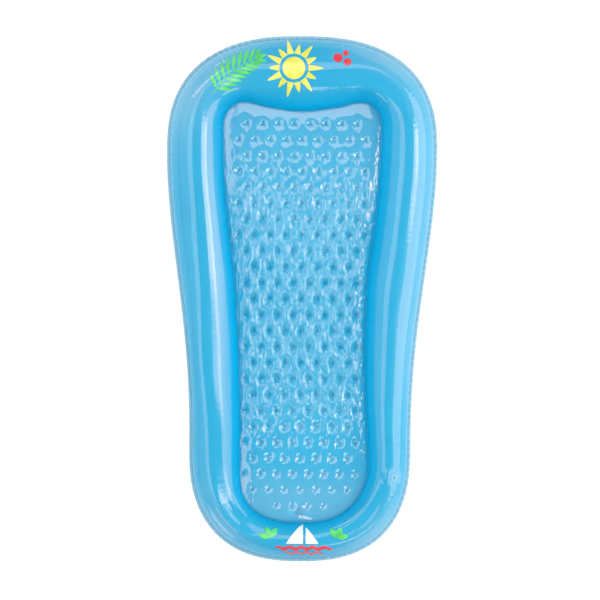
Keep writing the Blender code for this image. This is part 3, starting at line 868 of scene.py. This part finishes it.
def vinyl_bumps(tree, coordinates, dotted):
    """A soft orange peel and a faint grain, over fine crinkles where a dotted film is loose."""
    crinkles = None
    if dotted:
        stretch = tree.nodes.new("ShaderNodeMapping")
        stretch.inputs["Scale"].default_value = CRINKLE_STRETCH
        tree.links.new(coordinates, stretch.inputs["Vector"])
        height = noise_of(tree, stretch.outputs["Vector"], *CRINKLE_NOISE)
        crinkles = bumped(tree, height, CRINKLE_DEPTH)
        tree.links.new(stored(tree, "looseness"), crinkles.inputs["Strength"])
    height = noise_of(tree, coordinates, *PEEL_NOISE)
    peel = bumped(tree, height, PEEL_DEPTH, PEEL_STRENGTH, crinkles)
    height = noise_of(tree, coordinates, *GRAIN_NOISE)
    return bumped(tree, height, GRAIN_DEPTH, GRAIN_STRENGTH, peel)


def vinyl_material(
    name, colours, cover, roughness, ior=FILM_IOR, welded=False, dotted=False, tint=FILM_TINT
):
    """Glossy see-through vinyl: a slightly uneven colour, a faint grain and a soft orange peel.

    cover is the share of the light that the film holds back; the rest passes through it, tinted.
    welded says that the film is painted pale towards its first weld, as painted light, and deep, as
    painted shade, and dull towards its last one, dotted that it darkens round its weld dots, partly
    in the weld's own colour and partly as painted shade in the dimple, and crinkles where it is
    loose.
    Both kinds get painted light where it is stored.
    """
    material, tree, shader = new_material(name)
    coordinates = tree.nodes.new("ShaderNodeTexCoord").outputs["Object"]
    colour = clouded(tree, coordinates, VINYL_CLOUDS, colours)
    if welded:
        film = tree.nodes.new("ShaderNodeUVMap")
        film.uv_map = "film"
        place = tree.nodes.new("ShaderNodeSeparateXYZ")
        tree.links.new(film.outputs["UV"], place.inputs[0])
        across = place.outputs["Y"]
        # Painted light towards the first weld, and painted shade towards the last
        for shade, edge in ((PAINTED_LIGHT_VINYL, PAINTED_LIGHT_EDGE), (PAINTED_SHADE_VINYL, PAINTED_SHADE_EDGE)):
            colour = shaded(tree, colour, ranged(tree, across, 0.0, 1.0, *edge), shade)
        gloss = ranged(tree, across, GLOSS, GLOSS * VALLEY_GLOSS_SHARE, *VALLEY_GLOSS_EDGE)
        tree.links.new(gloss, shader.inputs["Specular IOR Level"])
    else:
        shader.inputs["Specular IOR Level"].default_value = GLOSS
    if welded or dotted:
        # Painted light and painted reflection, where they are stored at the film's points
        colour = shaded(tree, colour, stored(tree, "painted_light"), PAINTED_LIGHT_VINYL)
    if dotted:
        # Darker round the weld dots: partly the weld's own colour, partly painted shade in the
        # dimple
        colour = shaded(tree, colour, stored(tree, "weld_and_dimple_shade"), WELD_SHADE)
    tree.links.new(colour, shader.inputs["Base Color"])
    smooth, rough = (roughness * share for share in ROUGHNESS_SPREAD)
    uneven = ranged(tree, noise_of(tree, coordinates, *ROUGHNESS_NOISE), smooth, rough)
    tree.links.new(uneven, shader.inputs["Roughness"])
    normal = vinyl_bumps(tree, coordinates, dotted).outputs["Normal"]
    tree.links.new(normal, shader.inputs["Normal"])
    shader.inputs["IOR"].default_value = ior
    shader.inputs["Specular Tint"].default_value = (*GLOSS_TINT, 1)
    if cover < 1:
        clear = tree.nodes.new("ShaderNodeBsdfTransparent")
        clear.inputs["Color"].default_value = (*tint, 1)
        mix = tree.nodes.new("ShaderNodeMixShader")
        mix.inputs["Fac"].default_value = cover
        tree.links.new(clear.outputs[0], mix.inputs[1])
        tree.links.new(shader.outputs[0], mix.inputs[2])
        tree.links.new(mix.outputs[0], tree.nodes["Material Output"].inputs["Surface"])
    return material


def ink_material(name, colours):
    """Printing ink: opaque, slightly uneven, with a dull gloss."""
    material, tree, shader = new_material(name)
    coordinates = tree.nodes.new("ShaderNodeTexCoord").outputs["Object"]
    colour = clouded(tree, coordinates, INK_CLOUDS, colours)
    tree.links.new(colour, shader.inputs["Base Color"])
    shader.inputs["Roughness"].default_value = INK_ROUGHNESS
    shader.inputs["Coat Weight"].default_value = INK_COAT
    shader.inputs["Coat Roughness"].default_value = INK_COAT_ROUGHNESS
    return material


def floor_material():
    """White studio floor: white to the camera and in gloss, and it still takes a soft shadow."""
    material, tree, shader = new_material("studio_floor")
    shader.inputs["Base Color"].default_value = (*FLOOR_COLOUR, 1)
    shader.inputs["Roughness"].default_value = 1.0
    shader.inputs["Specular IOR Level"].default_value = 0.0
    white = tree.nodes.new("ShaderNodeEmission")
    white.inputs["Strength"].default_value = FLOOR_WHITE
    path = tree.nodes.new("ShaderNodeLightPath")
    seen = path.outputs["Is Camera Ray"]
    for output in ("Is Glossy Ray", "Is Transmission Ray"):
        either = tree.nodes.new("ShaderNodeMath")
        either.operation = "MAXIMUM"
        tree.links.new(seen, either.inputs[0])
        tree.links.new(path.outputs[output], either.inputs[1])
        seen = either.outputs[0]
    share = tree.nodes.new("ShaderNodeMath")
    share.operation = "MULTIPLY"
    share.inputs[1].default_value = FLOOR_WHITE_SHARE
    tree.links.new(seen, share.inputs[0])
    mix = tree.nodes.new("ShaderNodeMixShader")
    tree.links.new(share.outputs[0], mix.inputs["Fac"])
    tree.links.new(shader.outputs[0], mix.inputs[1])
    tree.links.new(white.outputs[0], mix.inputs[2])
    tree.links.new(mix.outputs[0], tree.nodes["Material Output"].inputs["Surface"])
    return material


def softbox(name, place, aim, size, radiance):
    """A rectangular lamp, wide and high as size says. A radiance of 1 shows as white."""
    lamp = bpy.data.lights.new(name, "AREA")
    lamp.shape = "RECTANGLE"
    lamp.size, lamp.size_y = size
    lamp.energy = radiance * math.pi * size[0] * size[1]
    obj = bpy.data.objects.new(name, lamp)
    bpy.context.scene.collection.objects.link(obj)
    obj.location = place
    towards = Vector(aim) - Vector(place)
    obj.rotation_euler = towards.to_track_quat("-Z", "Y").to_euler()
    obj.visible_camera = False


def build_studio():
    """Floor, world, lamps and camera."""
    scene = bpy.context.scene
    scene.view_settings.view_transform = "Standard"
    world = bpy.data.worlds.new("studio")
    scene.world = world
    world.use_nodes = True
    back = world.node_tree.nodes["Background"]
    back.inputs["Color"].default_value = (1, 1, 1, 1)
    back.inputs["Strength"].default_value = WORLD_LIGHT

    bm = bmesh.new()
    bmesh.ops.create_grid(bm, x_segments=1, y_segments=1, size=FLOOR_HALF_SIDE)
    floor = mesh_object("floor", bm, smooth=False)
    floor.data.materials.append(floor_material())

    for lamp in LAMPS:
        softbox(*lamp)

    camera = bpy.data.cameras.new("camera")
    camera.type = "PERSP"
    camera.sensor_width = SENSOR
    camera.lens = SENSOR * (CAMERA_HEIGHT - SEAM_LEVEL) / (IMAGE_SIDE * METRES_PER_PIXEL)
    camera.clip_end = CAMERA_REACH
    eye = bpy.data.objects.new("camera", camera)
    scene.collection.objects.link(eye)
    eye.location = (*VIEW_CENTRE, CAMERA_HEIGHT)
    eye.rotation_euler = (0, 0, VIEW_ROLL)
    scene.camera = eye


def place_film(piece, node, material, inside=None):
    """Gives a film its materials and its place in the frame, in the stead of a node of the part."""
    piece.data.materials.append(material)
    if inside is not None:
        piece.data.materials.append(inside)
    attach(piece, "mat")
    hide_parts(node)
    return piece


def build_ring(vinyl, inside, seat):
    """Both films of the air ring. Returns the upper one, which the prints are laid on."""
    outline = Outline(TOP_AROUND)
    # The upper film carries painted light, stored at its points
    painted_light = ring_painted_light(outline, TOP_ACROSS)
    top_grid = level_seat(ring_film(outline, 1, TOP_ACROSS), seat)
    top = grid_object("ring_top_film", top_grid, True, True, painted_light)
    give_thickness(top, SHEET_THICKNESS, -1, 1)
    place_film(top, "ring_top_sheet", vinyl, inside)
    low_grid = ring_film(Outline(LOW_AROUND), -1, LOW_ACROSS)
    low = grid_object("ring_bottom_film", low_grid, True, False)
    give_thickness(low, SHEET_THICKNESS, -1, 1)
    place_film(low, "ring_bottom_sheet", vinyl, inside)
    return top


def build_seams(outline, edge, inner):
    """The outer weld, wavy like the film beside it, and the flat inner one."""
    outer_insets = (0, 0), (0, OUTER_SEAM_WIDTH + SEAM_LAP)
    outer_seam = seam_band("outer_weld_band", outline, *outer_insets, 1)
    give_thickness(outer_seam, 2 * SHEET_THICKNESS, 0)
    place_film(outer_seam, "outer_weld_seam", edge)
    inner_end = OUTER_SEAM_WIDTH + INNER_SEAM_WIDTH + SEAM_LAP
    inner_insets = (1, OUTER_SEAM_WIDTH - SEAM_LAP), (1, inner_end)
    inner_seam = seam_band("inner_weld_band", outline, *inner_insets, 0)
    give_thickness(inner_seam, 2 * SHEET_THICKNESS, 0)
    place_film(inner_seam, "inner_weld_seam", inner)


def build_bed(outline, vinyl, inside, weld):
    """Both films of the lying bed, and the small discs where they are welded together."""
    rim, dots = bed_rim(outline), dot_places(outline)
    grid = bed_film(rim, dots, 1, BED_ACROSS, BED_ALONG)
    bed = grid_object("bed_top_film", grid, False, False)
    mark_film(bed, dots)
    give_thickness(bed, SHEET_THICKNESS, -1, 1)
    place_film(bed, "bed_top_sheet", vinyl, inside)
    low_grid = bed_film(rim, dots, -1, LOW_BED_ACROSS, LOW_BED_ALONG)
    low_bed = grid_object("bed_bottom_film", low_grid, False, True)
    give_thickness(low_bed, SHEET_THICKNESS, -1, 1)
    place_film(low_bed, "bed_bottom_sheet", vinyl, inside)

    bm = bmesh.new()
    for x, y, _ in dots:
        height = seam_height(y) + SEAM_LIFT + SHEET_THICKNESS + WELD_DISC_LIFT
        disc(bm, (x, y, height), WELD_DISC_RADIUS, WELD_DISC_SIDES)
    discs = give_thickness(mesh_object("bed_weld_discs", bm), WELD_DISC_THICKNESS, 0)
    discs.data.materials.append(weld)
    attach(discs, "mat")


def disc(bm, place, radius, sides=DISC_SIDES):
    """A flat disc, level at place."""
    centre = Matrix.Translation(place)
    bmesh.ops.create_circle(bm, cap_ends=True, segments=sides, radius=radius, matrix=centre)


def leaf(bm, place, length, width, heading):
    """A flat leaf, pointed at both ends, that runs off from place at a heading in degrees."""
    made = bmesh.ops.create_circle(bm, cap_ends=True, segments=LEAF_SIDES, radius=1)["verts"]
    for vert in made:
        vert.co.y *= math.sqrt(max(0.0, 1 - vert.co.x**2)) * width / 2
        vert.co.x = (vert.co.x + 1) * length / 2
    turn = Matrix.Translation((*place, 0)) @ Matrix.Rotation(math.radians(heading), 4, "Z")
    bmesh.ops.transform(bm, matrix=turn, verts=made)


def panel(bm, steps, corner):
    """A flat strip of the given steps. corner(u, v) gives its points, with u and v from 0 to 1."""
    made = bmesh.ops.create_grid(bm, x_segments=steps, y_segments=1, size=1)["verts"]
    for vert in made:
        vert.co.x, vert.co.y = corner((vert.co.x + 1) / 2, (vert.co.y + 1) / 2)


def sun_print(bm):
    """A disc with narrowing rays, every other one shorter."""
    disc(bm, (*SUN_PLACE, 0), SUN_DISC_RADIUS)
    start = SUN_DISC_RADIUS * RAY_START_SHARE
    for ray in range(SUN_RAYS):
        heading = 2 * math.pi * ray / SUN_RAYS
        reach = SUN_RADIUS if ray % 2 == 0 else SUN_RADIUS * SHORT_RAY_SHARE
        along = np.array([math.cos(heading), math.sin(heading)])
        sideways = np.array([-along[1], along[0]])

        def corner(u, v):
            out = start + (reach - start) * u
            half_width = RAY_HALF_WIDTH * (1 - u) ** RAY_POWER + RAY_TIP_HALF_WIDTH
            return SUN_PLACE + along * out + sideways * half_width * (2 * v - 1)

        panel(bm, RAY_STEPS, corner)


def frond_print(bm):
    """A palm frond: a bent rib with pointed leaves to both sides, which close towards its tip."""
    start, end, bow = np.array(FROND_START), np.array(FROND_END), np.array(FROND_BOW)

    def rib(t):
        return start + (end - start) * t + bow * 4 * t * (1 - t)

    def heading(near, far):
        step = rib(far) - rib(near)
        return math.degrees(math.atan2(step[1], step[0]))

    def rib_corner(u, v):
        return rib(u) + np.array([0.0, RIB_HALF_WIDTH * (RIB_TAPER - u)]) * (2 * v - 1)

    panel(bm, RIB_STEPS, rib_corner)
    for k in range(FROND_LEAVES):
        t = FIRST_LEAF + LEAF_RUN * k / (FROND_LEAVES - 1)
        arch = math.sin(math.pi * (LEAF_ARCH[0] + LEAF_ARCH[1] * t))
        length = SHORTEST_LEAF + LEAF_GROWTH * arch
        for side in (1, -1):
            spread = side * (LEAF_SPREAD - LEAF_CLOSING * t)
            turn = heading(t - RIB_STEP, t + RIB_STEP) + spread
            leaf(bm, rib(t), length, FROND_LEAF_WIDTH, turn)
    leaf(bm, rib(TIP_LEAF_PLACE), TIP_LEAF_LENGTH, FROND_LEAF_WIDTH, heading(*TIP_HEADING))


def berry_print(bm):
    """Three berries of different sizes."""
    for dx, dy, radius in BERRIES:
        disc(bm, (BERRY_PLACE[0] + dx, BERRY_PLACE[1] + dy, 0), radius)


def sail_print(bm):
    """Two sails, side by side, each bowed along its outer edge."""
    x, y = SAIL_PLACE
    for near, reach, bow, height in SAILS:

        def corner(u, v):
            return x + near + v * reach * (1 - u) ** bow, y + height * u

        panel(bm, SAIL_STEPS, corner)


def wave_print(bm):
    """Two bands of waves, the lower one thinner and shorter."""
    x, y = SAIL_PLACE
    for drop, half_length, height, crests in WAVES:

        def corner(u, v):
            wave = WAVE_DEPTH * math.sin(2 * math.pi * crests * u)
            ends = math.sqrt(max(0.0, 1 - (2 * u - 1) ** WAVE_END_POWER))
            return x + half_length * (2 * u - 1), y - drop + wave + height * ends * (v - 0.5)

        panel(bm, WAVE_STEPS, corner)


def sprig_print(bm):
    """Two sprigs of three leaves, which lean away from each other."""
    for side, place in zip((1, -1), SPRIG_PLACES):
        for turn in SPRIG_SPREAD:
            leaf(bm, place, *SPRIG_LEAF, 90 + side * SPRIG_LEAN + turn)


def drape_print(name, draw, film_tree, ink):
    """Draws a flat print, cuts it into small faces and lays it on the ring's top film."""
    bm = bmesh.new()
    draw(bm)
    bmesh.ops.triangulate(bm, faces=bm.faces)
    corners = np.array([vert.co[:2] for vert in bm.verts])
    for axis, direction in enumerate(((1, 0, 0), (0, 1, 0))):
        low, high = corners[:, axis].min(), corners[:, axis].max()
        for cut in np.arange(low + PRINT_PITCH, high, PRINT_PITCH):
            spot = [cut if i == axis else 0 for i in range(3)]
            everything = bm.verts[:] + bm.edges[:] + bm.faces[:]
            bmesh.ops.bisect_plane(bm, geom=everything, plane_co=spot, plane_no=direction)
    for vert in bm.verts:
        hit = film_tree.ray_cast((vert.co.x, vert.co.y, 1), (0, 0, -1))[0]
        vert.co.z = hit.z + PRINT_LIFT
    bmesh.ops.recalc_face_normals(bm, faces=bm.faces)
    for face in bm.faces:
        if face.normal.z < 0:
            face.normal_flip()
    piece = give_thickness(mesh_object(name, bm), PRINT_THICKNESS, 0)
    piece.data.materials.append(ink)
    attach(piece, "mat")


def build_prints(top):
    """The prints on the ring, three at its head and three at its foot."""
    film_tree = BVHTree.FromObject(top, bpy.context.evaluated_depsgraph_get())
    yellow = ink_material("yellow_ink", YELLOW_INK)
    green = ink_material("green_ink", GREEN_INK)
    red = ink_material("red_ink", RED_INK)
    white = ink_material("white_ink", WHITE_INK)
    drape_print("sun_print", sun_print, film_tree, yellow)
    drape_print("frond_print", frond_print, film_tree, green)
    drape_print("berry_print", berry_print, film_tree, red)
    drape_print("sail_print", sail_print, film_tree, white)
    drape_print("wave_print", wave_print, film_tree, red)
    drape_print("sprig_print", sprig_print, film_tree, green)


def dress_valves(frame):
    """Gives the part's own valve pieces their vinyl: the plugs are darker than the rest."""
    cap_vinyl = vinyl_material("valve_cap_vinyl", PLUG_COLOURS, *VALVE_PLASTIC, VALVE_IOR)
    collar_vinyl = vinyl_material("valve_vinyl", COLLAR_COLOURS, *VALVE_PLASTIC, VALVE_IOR)
    for name, node in frame["nodes"].items():
        if "valve" in name:
            node.data.materials.clear()
            node.data.materials.append(cap_vinyl if "plug" in name else collar_vinyl)


def main():
    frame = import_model()
    build_studio()
    vinyl = vinyl_material("blue_vinyl", RING_COLOURS, *RING_FILM, welded=True)
    bed_vinyl = vinyl_material("bed_vinyl", BED_COLOURS, *BED_FILM, BED_IOR, dotted=True)
    inside = vinyl_material("blue_vinyl_inside", RING_COLOURS, *INSIDE_FILM, tint=INSIDE_TINT)
    edge = vinyl_material("weld_vinyl", OUTER_WELD_COLOURS, *OUTER_WELD_FILM)
    inner = vinyl_material("inner_weld_vinyl", INNER_WELD_LIT_COLOURS, *INNER_WELD_FILM)
    weld = vinyl_material("weld_disc_vinyl", WELD_DISC_COLOURS, *WELD_DISC_FILM)

    outline = Outline(SEAM_AROUND)
    build_prints(build_ring(vinyl, inside, valve_seat(frame)))
    build_seams(outline, edge, inner)
    build_bed(outline, bed_vinyl, inside, weld)
    dress_valves(frame)


main()
